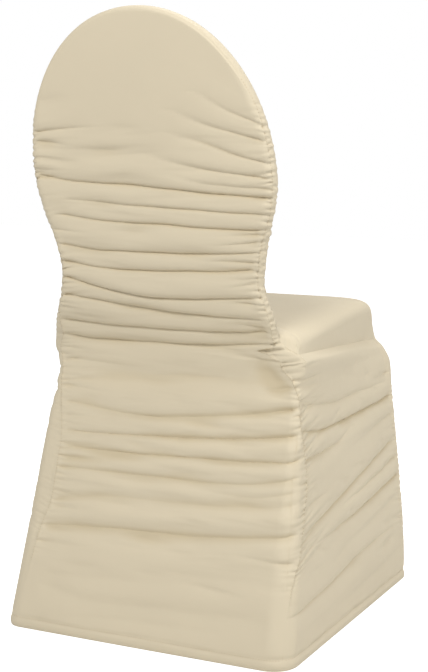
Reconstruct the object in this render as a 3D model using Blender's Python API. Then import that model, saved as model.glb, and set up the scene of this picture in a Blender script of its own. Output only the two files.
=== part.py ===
"""Ruched spandex chair cover, worn and empty: four gathered panels of stretch cloth.

Metres, +Z up. The front of the seat faces -Y, the outer back faces +Y, and the hem stands on Z = 0.
"""
import math

import bmesh
import bpy
import numpy as np

# Cloth and seams
CLOTH = 0.002
SEAM_GAP = 0.0008
HEM_BAND = 0.012

# Outline of the back, as half widths at heights
HEIGHT = 0.943
HEM_HALF = 0.240
SEAT_JOINT_Z, SEAT_JOINT_HALF = 0.402, 0.209
HIP_Z, HIP_HALF = 0.416, 0.219
WAIST_Z, WAIST_HALF = 0.552, 0.170
WIDEST_Z, WIDEST_HALF = 0.6985, 0.198
CROWN_POWER = 2.13

# Side view of the back's edge seam
HEM_REAR_Y = 0.2425
SEAT_JOINT_Y = 0.1281
SEAT_JOINT_ROUND = 0.005
WAIST_Y = 0.1812
BACK_RAKE = 0.190
REAR_ROUND = 0.0155
INNER_ROUND = 0.0225

# Grid of the crown: its corners on the arch, and the height from which rows bow upwards
CROWN_CORNER_HALF = 0.72 * WIDEST_HALF
BOW_START_Z = 0.700

# Seat cushion
CUSHION_TOP_Z = 0.4806
SIDE_TOP_REAR_Z = 0.440

# Front corner seam, from the hem to the notch under the cushion: height, half width, depth
FRONT_CORNER = (
    (0.000, 0.2411, -0.2377),
    (HEM_BAND, 0.2411, -0.2377),
    (0.348, 0.2057, -0.2553),
    (0.372, 0.2035, -0.2532),
    (0.396, 0.1945, -0.2429),
    (0.4124, 0.1832, -0.2289),
)
CORNER_POWER = 6.0

# A crease of one depth lies this share of it below the cloth's mean surface, and its ridges this share above
TROUGH_SHARE = 0.85
RIDGE_SHARE = 0.55

# Creases of the back panel, lowest first. Seam height on the right, height in the middle and seam height
# on the left, then the crease's depth at the same three places.
BACK_CREASES = (
    (0.064, 0.054, 0.040, 0.0010, 0.0015, 0.0008),
    (0.098, 0.084, 0.070, 0.0004, 0.0020, 0.0016),
    (0.136, 0.131, 0.129, 0.0000, 0.0006, 0.0020),
    (0.156, 0.150, 0.143, 0.0020, 0.0008, 0.0002),
    (0.187, 0.168, 0.155, 0.0028, 0.0032, 0.0026),
    (0.225, 0.212, 0.195, 0.0014, 0.0026, 0.0026),
    (0.243, 0.229, 0.223, 0.0010, 0.0004, 0.0020),
    (0.264, 0.246, 0.243, 0.0028, 0.0032, 0.0026),
    (0.288, 0.278, 0.276, 0.0034, 0.0034, 0.0030),
    (0.325, 0.305, 0.299, 0.0040, 0.0038, 0.0032),
    (0.361, 0.336, 0.343, 0.0040, 0.0034, 0.0034),
    (0.377, 0.354, 0.361, 0.0008, 0.0012, 0.0026),
    (0.393, 0.383, 0.386, 0.0034, 0.0030, 0.0026),
    (0.411, 0.402, 0.409, 0.0006, 0.0016, 0.0028),
    (0.429, 0.420, 0.426, 0.0006, 0.0006, 0.0022),
    (0.455, 0.443, 0.449, 0.0040, 0.0040, 0.0040),
    (0.471, 0.465, 0.473, 0.0040, 0.0042, 0.0036),
    (0.480, 0.479, 0.490, 0.0020, 0.0006, 0.0006),
    (0.493, 0.495, 0.515, 0.0036, 0.0042, 0.0040),
    (0.511, 0.506, 0.530, 0.0022, 0.0008, 0.0004),
    (0.525, 0.517, 0.543, 0.0038, 0.0046, 0.0042),
    (0.545, 0.535, 0.554, 0.0026, 0.0008, 0.0006),
    (0.566, 0.557, 0.567, 0.0040, 0.0046, 0.0042),
    (0.578, 0.573, 0.580, 0.0028, 0.0016, 0.0004),
    (0.591, 0.585, 0.593, 0.0040, 0.0048, 0.0042),
    (0.604, 0.597, 0.604, 0.0026, 0.0010, 0.0006),
    (0.616, 0.610, 0.617, 0.0028, 0.0012, 0.0030),
    (0.628, 0.626, 0.640, 0.0040, 0.0048, 0.0042),
    (0.638, 0.639, 0.650, 0.0022, 0.0006, 0.0004),
    (0.649, 0.653, 0.664, 0.0040, 0.0042, 0.0032),
    (0.668, 0.682, 0.696, 0.0052, 0.0054, 0.0042),
    (0.684, 0.706, 0.708, 0.0036, 0.0018, 0.0022),
    (0.699, 0.727, 0.724, 0.0044, 0.0020, 0.0020),
    (0.720, 0.756, 0.747, 0.0044, 0.0014, 0.0022),
    (0.750, 0.781, 0.768, 0.0040, 0.0010, 0.0026),
    (0.774, 0.808, 0.803, 0.0024, 0.0006, 0.0020),
)
# Plain rows that turn the cloth over the crown, below the top row
CROWN_ROWS = (0.0230, 0.0110, 0.0050, 0.0013, 0.0)

# Creases of the side panels, lowest first: heights at the rear seam, in the middle and at the front seam,
# then the depths there.
RIGHT_CREASES = (
    (0.070, 0.088, 0.104, 0.0010, 0.0024, 0.0022),
    (0.135, 0.158, 0.178, 0.0008, 0.0030, 0.0052),
    (0.168, 0.206, 0.243, 0.0028, 0.0040, 0.0040),
    (0.213, 0.236, 0.266, 0.0030, 0.0010, 0.0006),
    (0.268, 0.288, 0.294, 0.0030, 0.0030, 0.0008),
    (0.325, 0.311, 0.313, 0.0034, 0.0044, 0.0050),
    (0.352, 0.342, 0.348, 0.0030, 0.0014, 0.0020),
    (0.378, 0.366, 0.372, 0.0024, 0.0008, 0.0010),
    (0.402, 0.392, 0.396, 0.0024, 0.0010, 0.0004),
    (0.420, 0.410, 0.404, 0.0012, 0.0004, 0.0002),
)
LEFT_CREASES = (
    (0.064, 0.082, 0.108, 0.0012, 0.0022, 0.0020),
    (0.126, 0.150, 0.171, 0.0010, 0.0030, 0.0046),
    (0.176, 0.199, 0.231, 0.0028, 0.0038, 0.0036),
    (0.238, 0.246, 0.266, 0.0030, 0.0014, 0.0010),
    (0.284, 0.289, 0.294, 0.0030, 0.0032, 0.0020),
    (0.318, 0.315, 0.318, 0.0034, 0.0036, 0.0042),
    (0.346, 0.343, 0.348, 0.0028, 0.0012, 0.0022),
    (0.374, 0.367, 0.372, 0.0026, 0.0010, 0.0008),
    (0.400, 0.391, 0.396, 0.0022, 0.0010, 0.0004),
    (0.419, 0.409, 0.404, 0.0010, 0.0004, 0.0002),
)

# Front panel, hem to cushion: height of each skirt row, and how far its middle stands before the corner seams
SKIRT_ROWS = (
    (0.000, 0.0130),
    (HEM_BAND, 0.0130),
    (0.055, 0.0130),
    (0.105, 0.0130),
    (0.160, 0.0130),
    (0.215, 0.0130),
    (0.270, 0.0130),
    (0.320, 0.0130),
    (0.348, 0.0130),
    (0.372, 0.0140),
    (0.396, 0.0190),
    (0.4124, 0.0265),
)
NOTCH_Z = SKIRT_ROWS[-1][0]
# Front panel over the cushion: share of the cushion's lower edge, and the middle's depth and height
CUSHION_ROWS = (
    (0.020, -0.2500, 0.4270),
    (0.050, -0.2450, 0.4480),
    (0.080, -0.2400, 0.4640),
    (0.125, -0.2305, 0.4750),
    (0.190, -0.2140, CUSHION_TOP_Z),
    (0.300, -0.1780, 0.4830),
    (0.430, -0.1260, 0.4846),
    (0.560, -0.0710, 0.4850),
    (0.690, -0.0160, 0.4846),
    (0.810, 0.0360, 0.4835),
    (0.910, 0.0780, 0.4828),
)
# Front panel up to the waist: height on the edge seam, and the middle's depth and height
LAP_ROWS = (
    (SIDE_TOP_REAR_Z, 0.1060, 0.4835),
    (0.4530, 0.1270, 0.4895),
    (0.4700, 0.1395, 0.5030),
    (0.4930, 0.1470, 0.5220),
    (0.5200, 0.1540, 0.5420),
    (0.5520, 0.1590, 0.5640),
)
# Front panel above the waist: heights on the edge seam
INNER_BACK_ROWS = (0.585, 0.620, 0.655, 0.6985, 0.735, 0.770, 0.805, 0.835)

BACK_COLUMNS = 18
FRONT_COLUMNS = 18
SIDE_COLUMNS = 9

CHAMPAGNE = (0.69, 0.60, 0.44, 1.0)
SHEEN_ROUGHNESS = 0.62


def ease(t):
    """Smooth step from 0 to 1."""
    t = np.clip(t, 0.0, 1.0)
    return t * t * (3 - 2 * t)


def half_width(z):
    """Half width of the back's edge seam at height z, below the arch."""
    z = np.asarray(z, float)
    slope = (SEAT_JOINT_HALF - HEM_HALF) / (SEAT_JOINT_Z - HEM_BAND)
    skirt = HEM_HALF + slope * np.maximum(z - HEM_BAND, 0.0)
    hip = SEAT_JOINT_HALF + (HIP_HALF - SEAT_JOINT_HALF) * ease((z - SEAT_JOINT_Z) / (HIP_Z - SEAT_JOINT_Z))
    waist = HIP_HALF + (WAIST_HALF - HIP_HALF) * ease((z - HIP_Z) / (WAIST_Z - HIP_Z))
    back = WAIST_HALF + (WIDEST_HALF - WAIST_HALF) * ease((z - WAIST_Z) / (WIDEST_Z - WAIST_Z))
    rise = np.clip((z - WIDEST_Z) / (HEIGHT - WIDEST_Z), 0.0, 1.0)
    arch = WIDEST_HALF * (1 - rise ** CROWN_POWER) ** (1 / CROWN_POWER)
    return np.select(
        [z < SEAT_JOINT_Z, z < HIP_Z, z < WAIST_Z, z < WIDEST_Z], [skirt, hip, waist, back], arch)


def arch_height(x):
    """Height of the arch above a place x across the back."""
    share = np.clip(np.abs(x) / WIDEST_HALF, 0.0, 1.0)
    return WIDEST_Z + (HEIGHT - WIDEST_Z) * (1 - share ** CROWN_POWER) ** (1 / CROWN_POWER)


def seam_y(z):
    """Depth of the edge seam at height z: legs splay out below the seat, the back leans above it."""
    z = np.maximum(np.asarray(z, float), HEM_BAND)
    slope = (HEM_REAR_Y - SEAT_JOINT_Y) / (SEAT_JOINT_Z - HEM_BAND)
    splay = slope * (SEAT_JOINT_Z - z)
    splay = 0.5 * (splay + np.sqrt(splay ** 2 + 4 * SEAT_JOINT_ROUND ** 2))
    lean = (WAIST_Y - SEAT_JOINT_Y) * ease((z - SEAT_JOINT_Z) / (WAIST_Z - SEAT_JOINT_Z))
    return SEAT_JOINT_Y + splay + lean + BACK_RAKE * np.maximum(z - WAIST_Z, 0.0)


def depth_inside(x, z):
    """Distance from the back's outline to a point inside it, seen from behind."""
    width = half_width(z)
    step = 0.001
    slope = (half_width(z + step) - half_width(z - step)) / (2 * step)
    below = (width - np.abs(x)) / np.sqrt(1 + slope ** 2)
    across = np.abs(x) / WIDEST_HALF
    rise = np.maximum(z - WIDEST_Z, 0.0) / (HEIGHT - WIDEST_Z)
    radius = np.maximum((across ** CROWN_POWER + rise ** CROWN_POWER) ** (1 / CROWN_POWER), 1e-6)
    grow_x = (across / radius) ** (CROWN_POWER - 1) / WIDEST_HALF
    grow_z = (rise / radius) ** (CROWN_POWER - 1) / (HEIGHT - WIDEST_Z)
    above = (1 - radius) / np.sqrt(grow_x ** 2 + grow_z ** 2 + 1e-12)
    return np.maximum(np.where(z > WIDEST_Z, above, below), 0.0)


def rounded_edge(distance, radius):
    """Height of a quarter round that starts at an edge and ends flat one radius inside it."""
    share = 1 - np.minimum(distance / radius, 1.0)
    return radius * np.sqrt(1 - share ** 2)


def back_plane(across, seam_z):
    """Place across and height on the back for a row that meets the edge seam at seam_z."""
    x = across * half_width(seam_z)
    corner_z = arch_height(CROWN_CORNER_HALF)
    bow = np.clip((seam_z - BOW_START_Z) / (corner_z - BOW_START_Z), 0.0, 1.0) ** 2
    z = seam_z + bow * (arch_height(across * CROWN_CORNER_HALF) - corner_z)
    return x, z


def through(left, middle, right, place):
    """Curve through three values at places -1, 0 and 1."""
    return middle + (right - left) / 2 * place + ((left + right) / 2 - middle) * place ** 2


def fold_rows(creases, place, bottom_rows, top_rows):
    """Row heights and fold depths at each place: a trough on each crease, a ridge between two of them."""
    rows = [(height, np.zeros_like(place)) for height in bottom_rows]
    last = None
    for low_end, middle, high_end, depth_low, depth_middle, depth_high in creases:
        height = through(low_end, middle, high_end, place)
        depth = through(depth_low, depth_middle, depth_high, place)
        if last is not None:
            rows.append(((last[0] + height) / 2, RIDGE_SHARE * (last[1] + depth) / 2))
        rows.append((height, -TROUGH_SHARE * depth))
        last = (height, depth)
    rows.append(((last[0] + top_rows[0]) / 2, RIDGE_SHARE * last[1] / 2))
    rows += [(height, np.zeros_like(place)) for height in top_rows]
    return np.array([row[0] for row in rows]), np.array([row[1] for row in rows])


def grid_normals(points):
    """Unit normals of a grid of points, across its columns and up its rows."""
    along_row = np.gradient(points, axis=1)
    along_column = np.gradient(points, axis=0)
    normals = np.cross(along_row, along_column)
    return normals / np.maximum(np.linalg.norm(normals, axis=2, keepdims=True), 1e-12)


def keep_square(normals, rows, columns, axis):
    """Take one axis out of the normals on an edge, so that the cloth's cut edge faces along it."""
    part = normals[rows, columns].copy()
    part[..., axis] = 0.0
    length = np.linalg.norm(part, axis=-1, keepdims=True)
    normals[rows, columns] = part / np.maximum(length, 1e-12)


def cloth_material(name):
    material = bpy.data.materials.new(name)
    material.use_nodes = True
    shader = material.node_tree.nodes["Principled BSDF"]
    shader.inputs["Base Color"].default_value = CHAMPAGNE
    shader.inputs["Roughness"].default_value = SHEEN_ROUGHNESS
    shader.inputs["Metallic"].default_value = 0.0
    return material


def panel(name, outer, normals, outward):
    """Closed panel of cloth: the outer grid, an inner grid one cloth thickness below it, and cut edges."""
    inner = outer - outward * CLOTH * normals
    row_count, column_count = outer.shape[:2]
    mesh = bpy.data.meshes.new(name)
    bm = bmesh.new()
    skins = [[[bm.verts.new(point) for point in row] for row in skin] for skin in (outer, inner)]
    for row in range(row_count - 1):
        for column in range(column_count - 1):
            corners = ((row, column), (row, column + 1), (row + 1, column + 1), (row + 1, column))
            bm.faces.new([skins[0][r][c] for r, c in corners])
            bm.faces.new([skins[1][r][c] for r, c in reversed(corners)])
    rim = [(0, c) for c in range(column_count)] + [(r, column_count - 1) for r in range(1, row_count)]
    rim += [(row_count - 1, c) for c in range(column_count - 2, -1, -1)]
    rim += [(r, 0) for r in range(row_count - 2, 0, -1)]
    for (row, column), (next_row, next_column) in zip(rim, rim[1:] + rim[:1]):
        bm.faces.new((skins[0][next_row][next_column], skins[0][row][column],
                      skins[1][row][column], skins[1][next_row][next_column]))
    if outward < 0:
        bmesh.ops.reverse_faces(bm, faces=bm.faces)
    bmesh.ops.triangulate(bm, faces=bm.faces)
    bm.to_mesh(mesh)
    bm.free()
    mesh.shade_smooth()
    mesh.materials.append(cloth_material(name + "_cloth"))
    thing = bpy.data.objects.new(name, mesh)
    bpy.context.scene.collection.objects.link(thing)
    return thing


def columns_to_edges(count):
    """Places from -1 to 1 that crowd towards both edges, where the cloth turns."""
    return np.sin(np.linspace(-math.pi / 2, math.pi / 2, count + 1))


def back_panel():
    across = columns_to_edges(BACK_COLUMNS)
    corner_z = arch_height(CROWN_CORNER_HALF)
    bottom_rows = [0 * across, 0 * across + HEM_BAND]
    top_rows = [0 * across + corner_z - drop for drop in CROWN_ROWS]
    seam_z, fold = fold_rows(BACK_CREASES, across, bottom_rows, top_rows)
    x, z = back_plane(across, seam_z)
    y = seam_y(z) + SEAM_GAP / 2 + rounded_edge(depth_inside(x, z), REAR_ROUND)
    points = np.stack([x, y, z], axis=2)
    normals = grid_normals(points)
    fade = np.sqrt(np.clip(depth_inside(x, z) / REAR_ROUND, 0.0, 1.0))
    points -= (fold * fade)[..., None] * normals
    normals = grid_normals(points)
    keep_square(normals, slice(None), [0, -1], 1)
    keep_square(normals, -1, slice(None), 1)
    keep_square(normals, 0, slice(None), 2)
    return panel("back_panel", points, normals, outward=-1)


def front_corner(z):
    """Half width and depth of the front corner seam at height z."""
    heights, halves, depths = zip(*FRONT_CORNER)
    return np.interp(z, heights, halves), np.interp(z, heights, depths)


def section(edge, middle, across, power):
    """Row of cloth from edge seam to edge seam over a middle point, with rounded shoulders."""
    lift = (1 - np.abs(across) ** power) ** (1 / power)
    x = across * edge[0]
    y = edge[1] + (middle[0] - edge[1]) * lift
    z = edge[2] + (middle[1] - edge[2]) * lift
    return np.stack([x, y, z], axis=1)


def front_panel():
    across = columns_to_edges(FRONT_COLUMNS)
    rows = []
    for z, step in SKIRT_ROWS:
        half, depth = front_corner(z)
        edge = (half, depth - SEAM_GAP / 2, z)
        rows.append(section(edge, (depth - step, z), across, CORNER_POWER))
    notch_half, notch_y = front_corner(NOTCH_Z)
    hip_half, hip_y = half_width(SIDE_TOP_REAR_Z), seam_y(SIDE_TOP_REAR_Z)
    for share, middle_y, middle_z in CUSHION_ROWS:
        edge = (notch_half + (hip_half - notch_half) * share,
                notch_y + (hip_y - notch_y) * share,
                NOTCH_Z + (SIDE_TOP_REAR_Z - NOTCH_Z) * share + SEAM_GAP / 2)
        rows.append(section(edge, (middle_y, middle_z), across, CORNER_POWER))
    for seam_z, middle_y, middle_z in LAP_ROWS:
        lift = SEAM_GAP / 2 if seam_z == SIDE_TOP_REAR_Z else 0.0
        edge = (half_width(seam_z + lift), seam_y(seam_z + lift) - SEAM_GAP / 2, seam_z + lift)
        rows.append(section(edge, (middle_y, middle_z), across, CORNER_POWER - 1))
    corner_z = arch_height(CROWN_CORNER_HALF)
    for seam_z in INNER_BACK_ROWS + tuple(corner_z - drop for drop in CROWN_ROWS):
        x, z = back_plane(across, np.full_like(across, seam_z))
        y = seam_y(z) - SEAM_GAP / 2 - rounded_edge(depth_inside(x, z), INNER_ROUND)
        rows.append(np.stack([x, y, z], axis=1))
    points = np.array(rows)
    normals = grid_normals(points)
    seat_start = len(SKIRT_ROWS) - 1
    lap_start = len(SKIRT_ROWS) + len(CUSHION_ROWS)
    keep_square(normals, slice(0, seat_start + 1), [0, -1], 1)
    keep_square(normals, slice(seat_start, lap_start + 1), [0, -1], 2)
    keep_square(normals, slice(lap_start, None), [0, -1], 1)
    keep_square(normals, -1, slice(None), 1)
    keep_square(normals, 0, slice(None), 2)
    return panel("front_panel", points, normals, outward=1)


def side_panel(name, creases, side):
    """Skirt side from the rear corner seam to the front corner seam; side is -1 right and 1 left."""
    forward = np.linspace(0.0, 1.0, SIDE_COLUMNS + 1)
    top = SIDE_TOP_REAR_Z + (NOTCH_Z - SIDE_TOP_REAR_Z) * forward - SEAM_GAP / 2
    bottom_rows = [0 * forward, 0 * forward + HEM_BAND]
    z, fold = fold_rows(creases, 2 * forward - 1, bottom_rows, [top])
    rear_z = np.broadcast_to(z[:, :1], z.shape)
    front_z = np.broadcast_to(z[:, -1:], z.shape)
    front_half, front_y = front_corner(front_z)
    share = np.broadcast_to(forward, z.shape)
    rear_y = seam_y(rear_z) - SEAM_GAP / 2
    x = half_width(rear_z) + (front_half - half_width(rear_z)) * share
    y = rear_y + (front_y + SEAM_GAP / 2 - rear_y) * share
    points = np.stack([side * x, y, z], axis=2)
    normals = grid_normals(points)
    fade = np.sqrt(np.sin(math.pi * forward).clip(0.0, 1.0))
    points += (side * -1 * fold * fade)[..., None] * normals
    normals = grid_normals(points)
    keep_square(normals, slice(None), [0, -1], 1)
    keep_square(normals, [0, -1], slice(None), 2)
    return panel(name, points, normals, outward=-side)


def main():
    for thing in list(bpy.data.objects):
        bpy.data.objects.remove(thing)
    back_panel()
    front_panel()
    side_panel("side_panel_right", RIGHT_CREASES, -1)
    side_panel("side_panel_left", LEFT_CREASES, 1)


main()
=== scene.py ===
"""Looks of the ruched spandex chair cover: four gathered sheets of stretch knit with seams, stitches and hem.

Metres, +Z up. The front of the seat faces -Y, the outer back faces +Y. Right and left are as seen from
behind, so right is -X.
"""
import math

import bpy
import numpy as np
from mathutils import Matrix, Vector


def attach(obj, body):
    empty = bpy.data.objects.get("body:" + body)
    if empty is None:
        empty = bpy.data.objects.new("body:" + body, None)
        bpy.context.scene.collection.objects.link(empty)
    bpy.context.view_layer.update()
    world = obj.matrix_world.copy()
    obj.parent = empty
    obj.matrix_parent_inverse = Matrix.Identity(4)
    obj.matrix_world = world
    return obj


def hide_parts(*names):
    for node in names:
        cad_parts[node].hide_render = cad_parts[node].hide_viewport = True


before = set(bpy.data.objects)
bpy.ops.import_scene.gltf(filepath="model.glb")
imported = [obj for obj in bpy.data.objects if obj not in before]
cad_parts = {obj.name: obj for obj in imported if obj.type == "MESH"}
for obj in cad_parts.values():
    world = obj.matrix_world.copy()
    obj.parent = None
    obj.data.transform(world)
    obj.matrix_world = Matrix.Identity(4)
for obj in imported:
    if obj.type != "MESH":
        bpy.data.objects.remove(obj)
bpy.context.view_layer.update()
bpy.ops.object.select_all(action="DESELECT")

# Cloth
KNIT_THICKNESS = 0.0008
HEM_BAND = 0.012

# Outline of the back, as half widths at heights
HEIGHT = 0.938
HEM_HALF = 0.240
SEAT_JOINT_Z, SEAT_JOINT_HALF = 0.402, 0.209
HIP_Z, HIP_HALF = 0.416, 0.219
HIP_START_Z, HIP_END_Z = 0.388, 0.432
# On the right the back's edge runs further in above the cushion: heights and how far, in millimetres
HIP_TUCK = (
    (0.000, 0), (0.428, 0), (0.440, 8), (0.449, 21), (0.458, 27), (0.468, 25.5), (0.480, 20), (0.502, 11),
    (0.520, 6), (0.536, 4), (0.555, 2), (0.575, 0), (0.943, 0))
WAIST_Z, WAIST_HALF = 0.552, 0.170
WIDEST_Z, WIDEST_HALF = 0.6985, 0.198
CROWN_POWER = 2.05

# Side view of the back's edge seam
HEM_REAR_Y = 0.2425
SEAT_JOINT_Y = 0.1281
SEAT_JOINT_ROUND = 0.005
WAIST_Y = 0.1812
BACK_RAKE = 0.190
REAR_ROUND = 0.0155
# Rear corners in plan: their radius at the hem on the right and on the left, and the wider turn at the
# cushion with its height and reach
HEM_CORNER_RIGHT, HEM_CORNER_LEFT = 0.038, 0.027
CUSHION_TURN, CUSHION_TURN_Z, CUSHION_TURN_REACH = 0.030, 0.437, 0.030
INNER_ROUND = 0.0225
# Towards the crown the turn narrows by a share and gets squarer than round, each from a height upwards
CROWN_TURN_SHARE, CROWN_NARROW_Z = 0.34, 0.72
CROWN_TURN_POWER, CROWN_SQUARE_Z = 2.5, 0.62
CROWN_TURN_REACH = 0.16
# From this height the sheets' edges move from half way round the turn to its side
EDGE_TURN_Z, EDGE_TURN_REACH = 0.28, 0.11

# Crown: corners of the weave on the arch, and the height from which the courses bow upwards
CROWN_CORNER_HALF = 0.72 * WIDEST_HALF
BOW_START_Z = 0.700

# Seat
SIDE_TOP_REAR_Z = 0.440
NOTCH_Z = 0.4124
# How square the front panel's sections are below the cushion and behind it
CORNER_POWER, LAP_POWER = 6.0, 2.9
# The cushion's sides lean in towards its top, by this share of the width where it rises this far
CUSHION_LEAN, CUSHION_RISE = 0.026, 0.040

# Front corner seam, from the hem to the notch under the cushion: height, half width, depth
FRONT_CORNER = (
    (0.000, 0.2411, -0.2377),
    (HEM_BAND, 0.2411, -0.2377),
    (0.348, 0.2057, -0.2553),
    (0.372, 0.2035, -0.2532),
    (0.396, 0.1945, -0.2429),
    (NOTCH_Z, 0.1832, -0.2289),
)
# Front panel's skirt: height, and how far its middle stands before the corner seams
SKIRT_STATIONS = (
    (0.000, 0.0130), (HEM_BAND, 0.0130), (0.320, 0.0130), (0.348, 0.0130), (0.372, 0.0140), (0.396, 0.0190),
    (NOTCH_Z, 0.0265))
# Front panel over the cushion: share of the cushion's lower edge, the middle's depth and height, and how
# square its corners are
CUSHION_STATIONS = (
    (0.020, -0.2500, 0.4270, 6.0),
    (0.050, -0.2470, 0.4500, 6.5),
    (0.080, -0.2430, 0.4665, 8.0),
    (0.125, -0.2340, 0.4775, 9.0),
    (0.190, -0.2165, 0.4825, 9.0),
    (0.300, -0.1800, 0.4842, 8.5),
    (0.430, -0.1260, 0.4846, 7.5),
    (0.560, -0.0710, 0.4842, 6.0),
    (0.690, -0.0160, 0.4836, 4.8),
    (0.810, 0.0360, 0.4826, 3.7),
    (0.910, 0.0780, 0.4820, 3.0),
)
# Front panel up to the waist: height on the edge seam, and the middle's depth and height
LAP_STATIONS = (
    (SIDE_TOP_REAR_Z, 0.1060, 0.4835),
    (0.4530, 0.1270, 0.4895),
    (0.4700, 0.1395, 0.5030),
    (0.4930, 0.1470, 0.5220),
    (0.5200, 0.1540, 0.5420),
    (0.5520, 0.1590, 0.5640),
    (0.5850, 0.1652, 0.5900),
    (0.6200, 0.1716, 0.6200),
)

# Creases of the back panel, lowest first, in millimetres: places (x, z) that a crease runs through, its depth
# at its first place, half way and at its last place, its reach up and down, and how soft its bottom is.
BACK_CREASES = (
    (((140, 26), (20, 36), (-120, 40)), (0.6, 1.8, 0.8), 9, 0.8),
    (((167, 66), (103, 56), (-37, 60), (-183, 66)), (2.8, 4.0, 2.4), 14, 0.6),
    (((160, 84), (61, 90), (-54, 98)), (3.1, 2.6, 0.7), 12, 0.8),
    (((-40, 112), (-120, 114), (-200, 120)), (0.4, 2.6, 2.4), 12, 0.8),
    (((191, 130), (117, 132)), (4.5, 2.8, 0.6), 9, 0.4),
    (((-148, 151), (-226, 146)), (0.7, 3.5, 5.5), 8, 0.3),
    (((190, 157), (98, 163), (-21, 167), (-110, 172), (-226, 185)), (7.4, 10.4, 9.0), 15, 0.3),
    (((188, 182), (130, 186)), (4.1, 2.5, 0.5), 7, 0.4),
    (((176, 199), (56, 211), (-59, 213), (-218, 226)), (7.1, 8.2, 6.2), 15, 0.45),
    (((-60, 236), (-140, 232), (-218, 244)), (0.7, 4.1, 5.2), 10, 0.4),
    (((174, 244), (86, 246), (-55, 246), (-144, 251), (-220, 264)), (7.4, 10.6, 8.4), 15, 0.3),
    (((174, 277), (91, 275), (-4, 278), (-95, 280), (-220, 288)), (7.7, 10.9, 9.5), 14, 0.25),
    (((174, 300), (95, 301), (-46, 308), (-136, 314), (-203, 324)), (7.7, 11.2, 10.9), 14, 0.25),
    (((178, 322), (120, 324)), (4.7, 2.7, 0.7), 7, 0.3),
    (((176, 344), (52, 333), (-86, 343), (-198, 361)), (7.1, 10.6, 10.9), 15, 0.3),
    (((182, 368), (110, 362)), (4.7, 2.7, 0.7), 8, 0.3),
    (((-147, 384), (-191, 392)), (0.8, 3.8, 5.7), 8, 0.3),
    (((190, 389), (125, 387), (-48, 395), (-163, 401)), (3.3, 8.2, 4.1), 20, 0.8),
    (((204, 409), (129, 407), (68, 403)), (5.7, 3.5, 0.8), 9, 0.3),
    (((205, 427), (150, 424)), (4.1, 2.7, 0.7), 6, 0.3),
    (((196, 448), (123, 441), (33, 443), (-56, 444), (-170, 454)), (5.8, 6.2, 4.1), 12, 0.15),
    (((176, 472), (115, 468), (27, 466), (-62, 467), (-119, 468), (-160, 472)), (6.2, 7.1, 5.8), 13, 0.10),
    (((-128, 483), (-154, 480)), (0.7, 2.5, 3.9), 6, 0.2),
    (((184, 495), (140, 491)), (3.4, 2.3, 0.6), 6, 0.3),
    (((163, 514), (103, 506), (31, 496), (-40, 493), (-96, 492), (-152, 492)), (6.0, 7.4, 5.8), 13, 0.10),
    (((-116, 516), (-143, 516)), (0.7, 2.5, 3.7), 6, 0.2),
    (((157, 541), (113, 530), (54, 520), (-3, 516), (-74, 518), (-144, 524)), (6.2, 7.8, 6.2), 13, 0.08),
    (((-119, 540), (-154, 545)), (0.7, 2.5, 3.9), 6, 0.2),
    (((151, 566), (98, 559), (24, 557), (-49, 559), (-119, 562), (-151, 566)), (5.8, 7.6, 6.0), 13, 0.10),
    (((-79, 576), (-155, 577)), (0.7, 3.2, 4.1), 7, 0.2),
    (((153, 592), (79, 585), (-9, 585), (-93, 587), (-161, 591)), (5.3, 7.1, 6.2), 12, 0.10),
    (((-103, 601), (-168, 606)), (0.7, 3.0, 4.1), 6, 0.2),
    (((166, 615), (120, 612)), (3.7, 2.3, 0.7), 7, 0.2),
    (((-117, 614), (-169, 617)), (0.7, 2.5, 3.7), 6, 0.2),
    (((147, 637), (73, 630), (-14, 627), (-96, 624), (-173, 624)), (5.1, 7.1, 6.4), 13, 0.08),
    (((131, 661), (53, 656), (-30, 652), (-113, 648), (-187, 647)), (3.0, 6.9, 6.0), 13, 0.10),
    (((181, 696), (116, 688), (38, 684), (-33, 680), (-101, 674), (-189, 669)), (5.3, 7.4, 7.4), 14, 0.08),
    (((-35, 701), (-102, 688), (-190, 683)), (0.6, 3.6, 4.4), 9, 0.2),
    (((180, 705), (141, 704)), (2.6, 2.0, 0.6), 7, 0.3),
    (((-2, 731), (-78, 712), (-132, 704), (-191, 697)), (0.8, 5.0, 5.8), 11, 0.12),
    (((177, 723), (136, 719)), (3.0, 2.2, 0.6), 8, 0.3),
    (((-45, 761), (-95, 746), (-147, 729), (-193, 719)), (0.8, 5.2, 6.0), 12, 0.12),
    (((173, 747), (129, 742)), (3.8, 2.4, 0.6), 7, 0.2),
    (((177, 761), (129, 766), (83, 769)), (4.8, 3.2, 0.6), 9, 0.12),
    (((-48, 793), (-110, 769), (-163, 756), (-188, 750)), (0.8, 4.8, 5.6), 12, 0.12),
    (((-89, 819), (-134, 792), (-185, 772)), (0.6, 3.4, 4.8), 11, 0.15),
    (((160, 806), (123, 810)), (1.8, 1.4, 0.4), 10, 0.6),
)

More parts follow.
